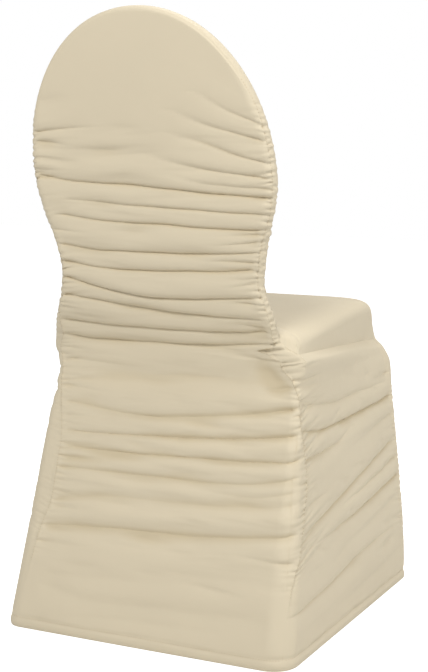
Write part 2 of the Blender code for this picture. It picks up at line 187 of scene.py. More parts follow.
# Creases of the side panels: places run through as (share of the way from rear seam to front seam in
# thousandths, height in millimetres), then depths, reach and softness as above.
RIGHT_CREASES = (
    (((350, 38), (700, 46), (960, 58)), (0.4, 2.4, 1.4), 10, 0.6),
    (((30, 72), (300, 80), (610, 96), (860, 102)), (3.4, 4.2, 2.0), 8, 0.1),
    (((480, 126), (760, 138), (960, 150)), (0.4, 2.4, 2.6), 9, 0.4),
    (((150, 154), (510, 160), (820, 172), (1000, 180)), (1.0, 6.4, 8.4), 13, 0.1),
    (((80, 176), (340, 194), (660, 218), (930, 238)), (5.0, 7.0, 7.0), 13, 0.12),
    (((420, 186), (700, 197), (960, 211)), (0.6, 3.8, 5.0), 8, 0.15),
    (((20, 214), (230, 220)), (4.4, 3.4, 0.6), 7, 0.2),
    (((0, 248), (180, 246)), (4.0, 2.6, 0.4), 7, 0.2),
    (((70, 281), (340, 283), (520, 297)), (5.0, 5.4, 1.0), 10, 0.2),
    (((560, 268), (820, 280), (990, 285)), (0.4, 3.4, 3.8), 10, 0.3),
    (((0, 331), (240, 314), (530, 311), (900, 312), (1000, 314)), (5.0, 8.0, 9.0), 13, 0.08),
)
LEFT_CREASES = (
    (((100, 36), (500, 40), (800, 52)), (0.4, 2.0, 1.2), 10, 0.8),
    (((0, 62), (320, 74), (640, 94), (940, 110)), (2.4, 2.8, 2.0), 8, 0.2),
    (((80, 126), (430, 146), (760, 164), (1000, 172)), (1.2, 4.2, 5.8), 12, 0.2),
    (((0, 176), (300, 190), (660, 214), (1000, 232)), (4.0, 4.8, 4.6), 12, 0.25),
    (((0, 232), (260, 238), (520, 252)), (3.6, 2.8, 0.8), 8, 0.3),
    (((0, 284), (400, 288), (760, 300)), (3.8, 4.2, 1.6), 11, 0.3),
    (((0, 322), (300, 315), (640, 313), (1000, 318)), (3.8, 5.0, 5.8), 12, 0.2),
    (((0, 350), (230, 345)), (3.2, 2.2, 0.6), 7, 0.3),
    (((0, 392), (260, 385)), (3.4, 2.4, 0.6), 7, 0.3),
)

# Creases of the front panel, each straight from a start to an end across the cloth: places across from -1 to
# 1 and the distance along the panel's middle from the front hem in metres, depth and reach in millimetres.
FRONT_CREASES = (
    (-1.00, 0.330, -0.45, 0.352, 2.6, 9, 0.4),
    (1.00, 0.322, 0.40, 0.350, 2.6, 9, 0.4),
    (-1.00, 0.270, -0.20, 0.300, 2.0, 11, 0.6),
    (1.00, 0.262, 0.30, 0.290, 2.2, 11, 0.6),
    (-1.00, 0.170, 0.10, 0.196, 1.8, 12, 0.7),
    (1.00, 0.158, 0.05, 0.190, 1.6, 12, 0.7),
    (-0.95, 0.075, 0.70, 0.090, 1.4, 13, 0.8),
    (-0.80, 0.856, 0.80, 0.852, 2.6, 8, 0.5),
    (-1.00, 0.905, -0.35, 0.878, 2.4, 8, 0.4),
    (1.00, 0.900, 0.42, 0.876, 2.2, 8, 0.4),
    (-1.00, 0.960, -0.55, 0.948, 2.0, 8, 0.3),
    (1.00, 0.972, 0.60, 0.958, 2.0, 8, 0.3),
    (-1.00, 1.030, -0.60, 1.026, 1.8, 9, 0.4),
    (1.00, 1.020, 0.55, 1.014, 1.8, 9, 0.4),
)

# Folds that run from the right hip forwards over the skirt's side and the cushion's side alike: places as
# (millimetres before HIP_FRONT_OF, height), then depths, reach and softness as above. On the front panel they
# fade out over HIP_FADE inside its border, and beside the front corner seam over HIP_START.
HIP_FRONT_OF = 0.150
HIP_FADE, HIP_START = 0.050, 0.014
HIP_CREASES = (
    (((-20, 368), (105, 351), (173, 345), (281, 343), (374, 341)), (4.8, 5.2, 1.6), 10, 0.2),
    (((350, 352), (413, 354)), (0.6, 3.2, 5.0), 7, 0.1),
    (((-40, 375), (40, 370), (77, 366)), (2.8, 2.2, 0.5), 6, 0.3),
    (((-40, 389), (29, 390), (79, 387)), (3.4, 2.6, 0.5), 6, 0.25),
    (((90, 399), (209, 389), (322, 386), (412, 383)), (0.8, 5.6, 3.2), 18, 0.9),
    (((-40, 405), (42, 400), (100, 401)), (4.6, 3.8, 0.6), 7, 0.12),
    (((-50, 426), (-5, 422), (67, 421)), (4.0, 3.0, 0.5), 7, 0.25),
    (((-40, 449), (42, 447), (166, 438), (328, 427)), (3.0, 4.6, 2.6), 17, 0.9),
    (((285, 430), (338, 424)), (0.4, 3.2, 4.6), 6, 0.1),
    (((-60, 466), (-30, 466), (20, 468)), (2.8, 2.0, 0.5), 6, 0.3),
    (((-80, 476), (-43, 474), (0, 474)), (2.6, 2.0, 0.5), 5, 0.3),
)
# The left hip isn't seen: its folds are the right ones, lower and shallower
LEFT_HIP_DROP, LEFT_HIP_SHARE = 7, 0.7

# Short gathers beside the elastic seams: spacing, reach along the cloth, depth and half width, least and
# most. Some are shorter or longer than their reach, and each leans either way by up to GATHER_LEAN.
GATHER_SPACING = (0.0056, 0.0115)
GATHER_REACH = (0.012, 0.050)
GATHER_DEPTH = (0.0012, 0.0042)
GATHER_HALF = (0.0014, 0.0025)
GATHER_LENGTHS = (0.5, 1.0, 1.0, 1.6)
GATHER_LEAN = 0.16

# A crease reaches this share of its table value upwards and downwards, and strays this far in millimetres
ABOVE_SHARE, BELOW_SHARE = 0.62, 1.40
WANDER = 0.45
# Faint creases between the main ones, soft and uneven: half length, depth and reach in millimetres
FAINT_HALF = (22, 62)
FAINT_DEPTH = (0.7, 2.4)
FAINT_REACH = (5, 10)
# Their seed, their number, the places across and the heights they lie at, and their steepest slope
BACK_FAINT = (5, 150, (-190, 190), (90, 770), 0.10)
SKIRT_FAINT = (6, 70, (-200, 190), (130, 400), 0.06)
SIDE_FAINT = (9, 46, (0, 900), (70, 420), 0.16)
# A crisp crease ends in a narrow cut: its share of the crease's depth, and its half width in millimetres
CUT_DEPTH, CUT_HALF = 0.32, 1.5
# Share of the mean fold depth, over this many rows each way, that is given back, so that the cloth stays
# where the solid has it
GIVE_BACK, GIVE_BACK_ROWS = 0.85, 26
# Above the seat the back's creases are deeper by this share
BACK_DEEPER = 0.12

# Rows of the back sheet: share of the rows and the height reached, close together where the cloth is gathered
BACK_ROWS = ((0.0, 0.0), (0.05, 0.06), (0.13, 0.13), (0.90, 0.80), (1.0, 0.8686))
# The elastic seam beside the back panel: height, and how far it lies inside the sheet's edge, in millimetres.
# The cover is worn turned a little to the right, so below the seat the right seam lies out on the side.
RIGHT_SEAM = (
    (0.000, -1), (0.074, -3), (0.109, -7), (0.132, -14), (0.154, -23), (0.201, -33), (0.240, -39),
    (0.270, -35), (0.301, -21), (0.343, 1), (0.375, 9), (0.401, 22), (0.425, 42), (0.440, 36), (0.452, 21),
    (0.465, 13.5), (0.480, 12), (0.502, 10), (0.520, 10), (0.536, 11), (0.555, 12.5), (0.587, 13),
    (0.621, 10.5), (0.646, 8), (0.694, 8), (0.735, 7), (0.790, 7), (0.871, 12), (0.943, 12))
LEFT_SEAM = (
    (0.000, 17), (0.115, 23), (0.147, 26), (0.198, 36), (0.279, 33), (0.337, 28), (0.400, 24), (0.440, 30),
    (0.500, 14), (0.587, 10), (0.694, 8), (0.790, 7), (0.871, 12), (0.943, 12))
SEAM_DEPTH = 0.0018
SEAM_HALF = 0.0013
# Seeds and reach in height of the gathers on the right and the left elastic seam
RIGHT_GATHERS = (11, 0.095, 0.815)
LEFT_GATHERS = (23, 0.105, 0.805)
# Where the right seam crosses the hip: a smooth hollow inside it and stronger gathers outside it, each with
# its height and reach
HOLLOW_Z, HOLLOW_REACH, HOLLOW_DEPTH = 0.408, 0.030, 0.0075
HIP_GATHER_Z, HIP_GATHER_REACH = 0.385, 0.075
# Small in and out of the elastic seams above the seat
PUCKER = 0.0009

BACK_GRID = (72, 680)
FRONT_GRID = (96, 440)
SIDE_GRID = (118, 380)
# Rows of the front sheet that hold its hem, and how its rows crowd towards the crown
HEM_ROWS, CROWN_CROWD = 40, 1.35
# Cut cloth for a metre of the gathered sheets' height, and half the front sheet's cut width
BACK_SLACK, SIDE_SLACK = 1.35, 1.25
FRONT_CUT_HALF = 0.22
# Fold depth that the cloth's colour counts as full, in its painted crease shade
FULL_FOLD = 0.006

STITCH_STEP = 0.0042
STITCH_LENGTH = 0.0029
STITCH_RADIUS = 0.00042
STITCH_HEM_Z = HEM_BAND + 0.0035
# The elastic seams' stitches show between these heights
SEAM_START_Z, SEAM_END_Z = 0.095, 0.835
SEAM_START_ROW = int(SIDE_GRID[1] * SEAM_START_Z / SIDE_TOP_REAR_Z)
# Points on the finished cloth where the elastic seams and the hem's stitches run
SEAM_LINE = {"right": [], "left": []}
HEM_LINE = {"back_sheet": [], "front_sheet": [], "side_sheet_right": [], "side_sheet_left": []}
MM = 0.001
# Axes that the lines run along
ACROSS, FRONT_TO_REAR, UP = 0, 1, 2


def ease(t):
    """Smooth step from 0 to 1."""
    t = np.clip(t, 0.0, 1.0)
    return t * t * (3 - 2 * t)


def soft_curve(place, places, values):
    """Smooth curve through a short table's points, with no overshoot between them."""
    places, values = np.asarray(places, float), np.asarray(values, float)
    rise = np.diff(values) / np.diff(places)
    slope = np.zeros_like(values)
    same_way = rise[:-1] * rise[1:] > 0
    slope[1:-1][same_way] = 2 * rise[:-1][same_way] * rise[1:][same_way] / (rise[:-1] + rise[1:])[same_way]
    slope[0], slope[-1] = rise[0], rise[-1]
    k = np.clip(np.searchsorted(places, place, side="right") - 1, 0, len(places) - 2)
    step = places[k + 1] - places[k]
    t = np.clip((place - places[k]) / step, 0.0, 1.0)
    lift = (1 + 2 * t) * (1 - t) ** 2 * values[k] + t * t * (3 - 2 * t) * values[k + 1]
    return lift + t * (1 - t) ** 2 * step * slope[k] - t * t * (1 - t) * step * slope[k + 1]


def half_width(z, side=1):
    """Half width of the back's edge seam at height z, below the arch, on the right (-1) or left (1) side."""
    z = np.asarray(z, float)
    tuck = soft_curve(z, *zip(*HIP_TUCK)) * MM * (np.asarray(side) < 0)
    slope = (SEAT_JOINT_HALF - HEM_HALF) / (SEAT_JOINT_Z - HEM_BAND)
    skirt = HEM_HALF + slope * (np.clip(z, HEM_BAND, SEAT_JOINT_Z) - HEM_BAND)
    hip = (HIP_HALF - SEAT_JOINT_HALF) * ease((z - HIP_START_Z) / (HIP_END_Z - HIP_START_Z))
    waist = (WAIST_HALF - HIP_HALF) * ease((z - HIP_Z) / (WAIST_Z - HIP_Z))
    back = (WIDEST_HALF - WAIST_HALF) * ease((z - WAIST_Z) / (WIDEST_Z - WAIST_Z))
    rise = np.clip((z - WIDEST_Z) / (HEIGHT - WIDEST_Z), 0.0, 1.0)
    arch = WIDEST_HALF * (1 - rise ** CROWN_POWER) ** (1 / CROWN_POWER)
    return np.where(z < WIDEST_Z, skirt + hip + waist + back - tuck, arch)


def arch_height(x):
    """Height of the arch above a place x across the back."""
    share = np.clip(np.abs(x) / WIDEST_HALF, 0.0, 1.0)
    return WIDEST_Z + (HEIGHT - WIDEST_Z) * (1 - share ** CROWN_POWER) ** (1 / CROWN_POWER)


def seam_y(z):
    """Depth of the edge seam at height z: it splays out below the seat and leans back above it."""
    z = np.maximum(np.asarray(z, float), HEM_BAND)
    slope = (HEM_REAR_Y - SEAT_JOINT_Y) / (SEAT_JOINT_Z - HEM_BAND)
    splay = slope * (SEAT_JOINT_Z - z)
    splay = 0.5 * (splay + np.sqrt(splay ** 2 + 4 * SEAT_JOINT_ROUND ** 2))
    lean = (WAIST_Y - SEAT_JOINT_Y) * ease((z - SEAT_JOINT_Z) / (WAIST_Z - SEAT_JOINT_Z))
    return SEAT_JOINT_Y + splay + lean + BACK_RAKE * np.maximum(z - WAIST_Z, 0.0)


def depth_inside(x, z):
    """Distance from the back's outline to a point inside it, seen from behind."""
    side = np.where(x < 0, -1, 1)
    width = half_width(z, side)
    step = MM
    slope = (half_width(z + step, side) - half_width(z - step, side)) / (2 * step)
    below = (width - np.abs(x)) / np.sqrt(1 + slope ** 2)
    across = np.abs(x) / WIDEST_HALF
    rise = np.maximum(z - WIDEST_Z, 0.0) / (HEIGHT - WIDEST_Z)
    radius = np.maximum((across ** CROWN_POWER + rise ** CROWN_POWER) ** (1 / CROWN_POWER), 1e-6)
    grow_x = (across / radius) ** (CROWN_POWER - 1) / WIDEST_HALF
    grow_z = (rise / radius) ** (CROWN_POWER - 1) / (HEIGHT - WIDEST_Z)
    above = (1 - radius) / np.sqrt(grow_x ** 2 + grow_z ** 2 + 1e-12)
    return np.maximum(np.where(z > WIDEST_Z, above, below), 0.0)


def quarter_round(distance, width, height):
    """Quarter round that starts at an edge and is flat and full height one width inside it."""
    share = 1 - np.minimum(distance / width, 1.0)
    return height * np.sqrt(1 - share ** 2)


def corner_size(z, side):
    """Width and depth of the turn from the rear to the side, at heights on one side."""
    hem = np.where(side < 0, HEM_CORNER_RIGHT, HEM_CORNER_LEFT)
    depth = REAR_ROUND + (hem - REAR_ROUND) * (1 - ease(z / SEAT_JOINT_Z))
    reach = np.where(z > CUSHION_TURN_Z, CUSHION_TURN_REACH / 2, CUSHION_TURN_REACH)
    cushion = CUSHION_TURN * np.exp(-((z - CUSHION_TURN_Z) / reach) ** 2)
    narrower = CROWN_TURN_SHARE * ease((z - CROWN_NARROW_Z) / CROWN_TURN_REACH)
    return (depth + cushion) * (1 - narrower), depth


def corner_turn(z):
    """How far round the turn the sheets' edges lie: half way below the seat, on the side above it."""
    return math.pi / 4 * (1 + ease((z - EDGE_TURN_Z) / EDGE_TURN_REACH))


def rear_edge(z, side):
    """Half width and depth of the line where the back sheet ends."""
    width, depth = corner_size(z, side)
    turn = corner_turn(z)
    half = half_width(z, side) - width * (1 - np.sin(turn))
    return half, seam_y(z) + REAR_ROUND - depth * (1 - np.cos(turn))


def rear_turn(inside, z, side):
    """Depth of the rear surface at a distance inside its edge, and the distance along the cloth."""
    width, depth = corner_size(z, side)
    turn = corner_turn(z)
    left = np.clip(np.sin(turn) - inside / width, 0.0, 1.0)
    power = 2.0 + (CROWN_TURN_POWER - 2.0) * ease((z - CROWN_SQUARE_Z) / CROWN_TURN_REACH)
    y = seam_y(z) + REAR_ROUND - depth * (1 - (1 - left ** power) ** (1 / power))
    walked = (width + depth) / 2 * (turn - np.arcsin(left)) + np.maximum(inside - width * np.sin(turn), 0.0)
    return y, walked


def side_turn(forward, z, side):
    """How far the side surface turns in at a distance before its rear edge, and how far along the cloth."""
    width, depth = corner_size(z, side)
    turn = corner_turn(z)
    left = np.clip(np.cos(turn) - forward / depth, 0.0, 1.0)
    walked = (width + depth) / 2 * (math.pi / 2 - turn - np.arcsin(left))
    return width * (1 - np.sqrt(1 - left ** 2)), walked + np.maximum(forward - depth * np.cos(turn), 0.0)


def back_plane(across, seam_z):
    """Place across and height on the back for a course that meets the edge seam at seam_z."""
    x = across * half_width(seam_z, np.where(across < 0, -1, 1))
    corner_z = arch_height(CROWN_CORNER_HALF)
    bow = np.clip((seam_z - BOW_START_Z) / (corner_z - BOW_START_Z), 0.0, 1.0) ** 2
    z = seam_z + bow * (arch_height(across * CROWN_CORNER_HALF) - corner_z)
    return x, z


def from_border(points, across):
    """Straight distance of a sheet's points from its edge on their own side."""
    border = np.where(across[..., None] < 0, points[:, :1], points[:, -1:])
    return np.linalg.norm(points - border, axis=2)


def grid_normals(points):
    """Unit normals of a grid of points, across its columns and up its rows."""
    normals = np.cross(np.gradient(points, axis=1), np.gradient(points, axis=0))
    return normals / np.maximum(np.linalg.norm(normals, axis=2, keepdims=True), 1e-12)


def trough(offset, reach, softness):
    """Profile of a crease, 1 in its bottom: the cloth hangs over it from above and rises gently below."""
    a = offset / (reach * np.where(offset > 0, ABOVE_SHARE, BELOW_SHARE))
    return np.exp(softness - np.sqrt(a * a + softness * softness))


def creases(table, place, z, tail):
    """Depth of all creases in a table, at a place across and a height, both in the table's units."""
    depth = np.zeros_like(z)
    for number, (points, deep, reach, softness) in enumerate(table):
        places, heights = zip(*sorted(points))
        line = soft_curve(place, places, heights)
        ends = (places[0], (places[0] + places[-1]) / 2, places[-1])
        along = soft_curve(place, ends, deep if points[0][0] < points[-1][0] else deep[::-1])
        fade = ease((place - places[0]) / tail + 1) * ease((places[-1] - place) / tail + 1)
        wander = WANDER * (np.sin(place / 31 + 2.1 * number) + 0.6 * np.sin(place / 13 + 4.7 * number))
        offset = z - line - wander
        cut = CUT_DEPTH * max(0.0, 1 - 2 * softness) * np.exp(-(offset / CUT_HALF) ** 2)
        depth += along * fade * (trough(offset, reach, softness) + cut)
    return depth * MM


def faint_creases(seed, count, places, heights, tilt):
    """Table of seeded faint creases within a range of places across and of heights."""
    random = np.random.RandomState(seed)
    table = []
    for number in range(count):
        centre, height = random.uniform(*places), random.uniform(*heights)
        half, rise = random.uniform(*FAINT_HALF), random.uniform(-tilt, tilt)
        deep = random.uniform(*FAINT_DEPTH)
        line = ((centre - half, height - half * rise), (centre + half, height + half * rise))
        table.append((line, (deep * 0.3, deep, deep * 0.3), random.uniform(*FAINT_REACH), 0.5))
    return table


def running_mean(values, half):
    """Mean of a column's values over a window of rows."""
    padded = np.pad(values, ((half + 1, half), (0, 0)), mode="edge")
    total = np.cumsum(padded, axis=0)
    return (total[2 * half + 1:] - total[:-2 * half - 1]) / (2 * half + 1)


def gathers(seed, start, end, along, inward, slant, strength=1.0):
    """Depth of short uneven gathers that run from a seam into the cloth.

    along is the place on the seam, inward the distance from it, slant how far a gather climbs per metre.
    """
    random = np.random.RandomState(seed)
    depth = np.zeros_like(along)
    place = start
    while place < end:
        place += random.uniform(*GATHER_SPACING)
        reach = random.uniform(*GATHER_REACH)
        reach *= random.choice(GATHER_LENGTHS)
        deep = random.uniform(*GATHER_DEPTH)
        half = random.uniform(*GATHER_HALF)
        lean = slant + random.uniform(-GATHER_LEAN, GATHER_LEAN)
        deep *= 0.65 + 0.35 * math.sin(place * 41 + seed)
        off = (along - place - lean * inward) / (half * (1 + inward / 0.030))
        near = np.abs(off) < 4
        ends = ease((place - start) / 0.04) * ease((end - place) / 0.05)
        fade = np.exp(-(inward[near] / reach) ** 1.5)
        depth[near] += strength * ends * deep * fade * np.exp(-off[near] ** 2)
    return depth


def hem_roll(height, place):
    """Turned hem: a low roll at the floor and an uneven groove where the stitches hold it."""
    uneven = 0.75 + 0.25 * np.sin(place * 47) + 0.22 * np.sin(place * 113 + 1)
    line = STITCH_HEM_Z + 0.0012 * np.sin(place * 29 + 2)
    roll = 0.0010 * np.sin(math.pi * np.clip(height / HEM_BAND, 0.0, 1.0))
    groove = np.exp(-((height - line) / 0.0030) ** 2) + 0.5 * np.exp(-((height - line) / 0.0075) ** 2)
    return roll - 0.0013 * uneven * groove


def columns_to_edges(count):
    """Places from -1 to 1 that crowd towards both edges, where the cloth turns and is gathered."""
    half = np.linspace(0.0, 1.0, count // 2 + 1)
    inward = 0.22 * half + 0.78 * half ** 2.6
    inward *= np.minimum(1.0, 0.25 + half * 6)
    return np.concatenate([inward - 1, (1 - inward)[-2::-1]])


def cloth_sheet(name, points, across_m, along_m, fold, flip):
    """Sheet of knit on a grid of points, with the cut cloth's metres as UV and the fold depth kept for the
    colour's painted crease shade.
    """
    rows, columns = points.shape[:2]
    index = np.arange(rows * columns).reshape(rows, columns)
    quads = np.stack([index[:-1, :-1], index[:-1, 1:], index[1:, 1:], index[1:, :-1]], axis=2).reshape(-1, 4)
    if flip:
        quads = quads[:, ::-1]
    mesh = bpy.data.meshes.new(name)
    mesh.from_pydata(points.reshape(-1, 3).tolist(), [], quads.tolist())
    uv = mesh.uv_layers.new(name="cut_cloth")
    flat = np.stack([across_m.ravel(), along_m.ravel()], axis=1)[quads.ravel()]
    uv.data.foreach_set("uv", flat.astype(np.float32).ravel())
    depth = mesh.attributes.new("fold_depth", "FLOAT", "POINT")
    depth.data.foreach_set("value", np.clip(fold.ravel() / FULL_FOLD, -1, 1).astype(np.float32))
    mesh.shade_smooth()
    thing = bpy.data.objects.new(name, mesh)
    bpy.context.scene.collection.objects.link(thing)
    thickness = thing.modifiers.new("knit", "SOLIDIFY")
    thickness.thickness = KNIT_THICKNESS
    thickness.offset = -1.0
    thing.select_set(True)
    bpy.context.view_layer.objects.active = thing
    bpy.ops.object.modifier_apply(modifier=thickness.name)
    bpy.ops.object.shade_smooth_by_angle(angle=math.radians(60))
    thing.select_set(False)
    return thing


def beyond_seam(walked, z, side, outwards):
    """Distance from the elastic seam, positive on its outer side, for cloth walked from the sheets' edge."""
    heights, insets = zip(*(RIGHT_SEAM if side < 0 else LEFT_SEAM))
    inset = soft_curve(z, heights, insets) * MM
    return inset + walked if outwards else inset - walked


def seam_folds(off, z, side):
    """Short gathers on both sides of an elastic seam, and the seam's own valley and ridge."""
    seed, start, end = RIGHT_GATHERS if side < 0 else LEFT_GATHERS
    hollow = np.exp(-((z - HOLLOW_Z) / HOLLOW_REACH) ** 2) if side < 0 else 0.0 * z
    inner = gathers(seed, start, end, z, np.maximum(-off, 0.0), 0.05 * side) * (1 - 0.75 * hollow)
    inner += HOLLOW_DEPTH * hollow * np.exp(-((off + 0.028) / 0.022) ** 2)
    above = ease((z - 0.47) / 0.06)
    hip = np.exp(-((z - HIP_GATHER_Z) / HIP_GATHER_REACH) ** 2) if side < 0 else 0.0 * z
    outer = gathers(seed + 3, start, end, z, np.maximum(off, 0.0) * (0.75 - 0.30 * hip + 1.1 * above), 0.34)
    outer *= 0.8 + 0.9 * hip if side < 0 else 0.45 + 0.5 * above
    pucker = gathers(seed, start, end, z, 0 * off, 0.0) / GATHER_DEPTH[1]
    valley = (0.45 + pucker) * (np.exp(-(off / SEAM_HALF) ** 2) - 0.5 * np.exp(-(off / SEAM_HALF + 2.4) ** 2))
    ridge = np.exp(-((off - 0.0040) / 0.0020) ** 2) * (0.5 + pucker) - 0.8 * np.exp(-(off / 0.0016) ** 2)
    sewn = above * valley + 0.7 * (1 - above) * ease((z - 0.05) / 0.06) * ridge
    return np.where(off < 0, inner, outer) + SEAM_DEPTH * sewn


def back_fold(x, z, side, off):
    """How far the cloth inside the elastic seam is drawn in at its creases."""
    fold = creases(BACK_CREASES, x / MM, z / MM, tail=24) * (1 + BACK_DEEPER * ease((z - 0.40) / 0.06))
    fold += creases(faint_creases(*BACK_FAINT), x / MM, z / MM, tail=14)
    fold += creases(faint_creases(*SKIRT_FAINT), x / MM, z / MM, tail=14)
    fold -= GIVE_BACK * running_mean(fold, GIVE_BACK_ROWS)
    return fold * (0.42 + 0.58 * ease(-off / 0.016)) * (1 - ease(off / 0.007 + 0.5))


def side_fold(table, place, z, off):
    """How far the cloth outside the elastic seam is drawn in at its creases."""
    fold = creases(table, place, z / MM, tail=70)
    fold += creases(faint_creases(*SIDE_FAINT), place, z / MM, tail=60)
    fold -= GIVE_BACK * running_mean(fold, GIVE_BACK_ROWS)
    if table is LEFT_CREASES:
        return fold * ease((off - 0.035) / 0.050)
    return fold * (0.30 + 0.70 * ease(off / 0.030)) * ease(off / 0.007 + 0.5)


def seam_pucker(z, phase):
    """Small in and out of the elastic seam, in metres."""
    wave = 0.5 * np.sin(z * 610 + phase) + 0.3 * np.sin(z * 947 + 2.1 * phase) + 0.35 * np.sin(z * 389 + 0.7)
    return PUCKER * wave * ease((z - 0.43) / 0.06) * (1 - ease((z - 0.76) / 0.08))


def pucker_edges(points, across, seam_z):
    """Move the cloth next to both edge seams in and out with the seam's pucker."""
    edge = np.abs(across) ** 10
    points[..., 0] += np.sign(across) * edge * seam_pucker(seam_z, np.where(across < 0, 0.4, 2.9))


def back_panel():
    """Outer rear panel from hem to crown."""
    columns, rows = BACK_GRID
    heights = soft_curve(np.linspace(0.0, 1.0, rows + 1), *zip(*BACK_ROWS))
    heights[-1] = arch_height(CROWN_CORNER_HALF)
    across, seam_z = np.meshgrid(columns_to_edges(columns), heights)
    side = np.where(across < 0, -1, 1)
    x, z = back_plane(across, seam_z)
    pulled = half_width(z, side) - rear_edge(z, side)[0]
    x -= across * pulled
    inside = np.maximum(depth_inside(x, z) - pulled, 0.0)
    y, walked = rear_turn(inside, z, side)
    points = np.stack([x, y, z], axis=2)
    normals = -grid_normals(points)
    off = np.where(side < 0, beyond_seam(walked, z, -1, False), beyond_seam(walked, z, 1, False))
    fold = back_fold(x, z, side, off)
    for hand, table in ((-1, RIGHT_CREASES), (1, LEFT_CREASES)):
        beside = side_fold(table, 0 * z, z, off) * (z < SIDE_TOP_REAR_Z)
        fold += (side == hand) * (beside + seam_folds(off, z, hand))
        points[..., 0] -= hand * (side == hand) * hip_fold(y, z, hand) * ease(off / 0.006)
    lift = hem_roll(z, x) - fold
    points += (lift * ease(walked / 0.0012 + 1 - ease((z - 0.40) / 0.02)))[..., None] * normals
    pucker_edges(points, across, seam_z)
    points[0, :, 2] = 0.0
    middle = columns // 2
    sewn = (heights > SEAM_START_Z) & (heights < SEAM_END_Z)
    keep_crossings(SEAM_LINE["right"], points[sewn, :middle], off[sewn, :middle])
    keep_crossings(SEAM_LINE["left"], points[sewn, middle + 1:], off[sewn, middle + 1:])
    keep_crossings(HEM_LINE["back_sheet"], points.transpose(1, 0, 2), (z - STITCH_HEM_Z).T)
    return cloth_sheet("back_sheet", points, x, z * BACK_SLACK, fold, flip=True)


def keep_crossings(line, points, field):
    """Add to a line the place and grid normal in each row of points where a field passes zero."""
    normals = grid_normals(points)
    for row in range(len(points)):
        turns = np.nonzero(field[row, :-1] * field[row, 1:] < 0)[0]
        if len(turns) == 0:
            continue
        k = turns[0]
        share = field[row, k] / (field[row, k] - field[row, k + 1])
        place = points[row, k] + (points[row, k + 1] - points[row, k]) * share
        line.append((place, normals[row, k]))


def one_stitch():
    """One thread stitch along X: a stretched bead whose ends dip into the cloth."""
    bpy.ops.mesh.primitive_uv_sphere_add(segments=6, ring_count=6, radius=STITCH_RADIUS)
    stitch = bpy.context.object
    bpy.ops.object.mode_set(mode="EDIT")
    bpy.ops.transform.rotate(value=math.pi / 2, orient_axis="Y", center_override=(0, 0, 0))
    bpy.ops.transform.resize(value=(STITCH_LENGTH / 2 / STITCH_RADIUS, 1.0, 0.8))
    bpy.ops.object.mode_set(mode="OBJECT")
    for vertex in stitch.data.vertices:
        vertex.co.z -= STITCH_RADIUS * 1.5 * (2 * vertex.co.x / STITCH_LENGTH) ** 2
    return stitch


def thread_line(name, line, axis, material):
    """Run of stitches along a line kept from the sheets, in order along one axis, as one piece of thread."""
    line = sorted(line, key=lambda found: found[0][axis])
    places = np.array([place for place, normal in line])
    normals = np.array([normal for place, normal in line])
    outward = places * (1.0, 1.0, 0.0)
    normals *= np.sign(np.sum(normals * outward, axis=1))[:, None]
    length = np.concatenate([[0.0], np.cumsum(np.linalg.norm(np.diff(places, axis=0), axis=1))])
    stitch = one_stitch()
    copies = []
    for start in np.arange(STITCH_STEP, length[-1] - STITCH_STEP, STITCH_STEP):
        ends = [np.array([np.interp(start + step, length, places[:, axis]) for axis in range(3)])
                for step in (0.0, STITCH_LENGTH)]
        along = Vector(ends[1] - ends[0]).normalized()
        up = Vector([np.interp(start, length, normals[:, axis]) for axis in range(3)]).normalized()
        across = up.cross(along).normalized()
        up = along.cross(across)
        middle = Vector((ends[0] + ends[1]) / 2) + up * STITCH_RADIUS * 0.6
        turn = Matrix((along, across, up)).transposed().to_4x4()
        copy = bpy.data.objects.new(name, stitch.data.copy())
        copy.data.transform(Matrix.Translation(middle) @ turn)
        bpy.context.scene.collection.objects.link(copy)
        copies.append(copy)
    bpy.data.objects.remove(stitch)
    bpy.ops.object.select_all(action="DESELECT")
    for copy in copies:
        copy.select_set(True)
    bpy.context.view_layer.objects.active = copies[0]
    bpy.ops.object.join()
    thread = bpy.context.object
    thread.data.shade_smooth()
    thread.data.materials.clear()
    thread.data.materials.append(material)
    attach(thread, "root")
    thread.select_set(False)
    return thread


def front_corner(z):
    """Half width and depth of the front corner seam at height z."""
    heights, halves, depths = zip(*FRONT_CORNER)
    return soft_curve(z, heights, halves), soft_curve(z, heights, depths)


def front_stations():
    """Edge and middle points of the front panel's sections: edge x, y, z, middle y, z, power, seam height."""
    stations = []
    for z, step in SKIRT_STATIONS:
        half, depth = front_corner(z)
        stations.append((half, depth, z, depth - step, z, CORNER_POWER, 0.0))
    notch_half, notch_y = front_corner(NOTCH_Z)
    hip_half, hip_y = half_width(SIDE_TOP_REAR_Z), seam_y(SIDE_TOP_REAR_Z)
    for share, middle_y, middle_z, square in CUSHION_STATIONS:
        stations.append((
            notch_half + (hip_half - notch_half) * share, notch_y + (hip_y - notch_y) * share,
            NOTCH_Z + (SIDE_TOP_REAR_Z - NOTCH_Z) * share, middle_y, middle_z, square, 0.0))
    for seam_z, middle_y, middle_z in LAP_STATIONS:
        stations.append((
            half_width(seam_z), seam_y(seam_z), seam_z, middle_y, middle_z, LAP_POWER, seam_z))
    return np.array([[float(value) for value in station] for station in stations])


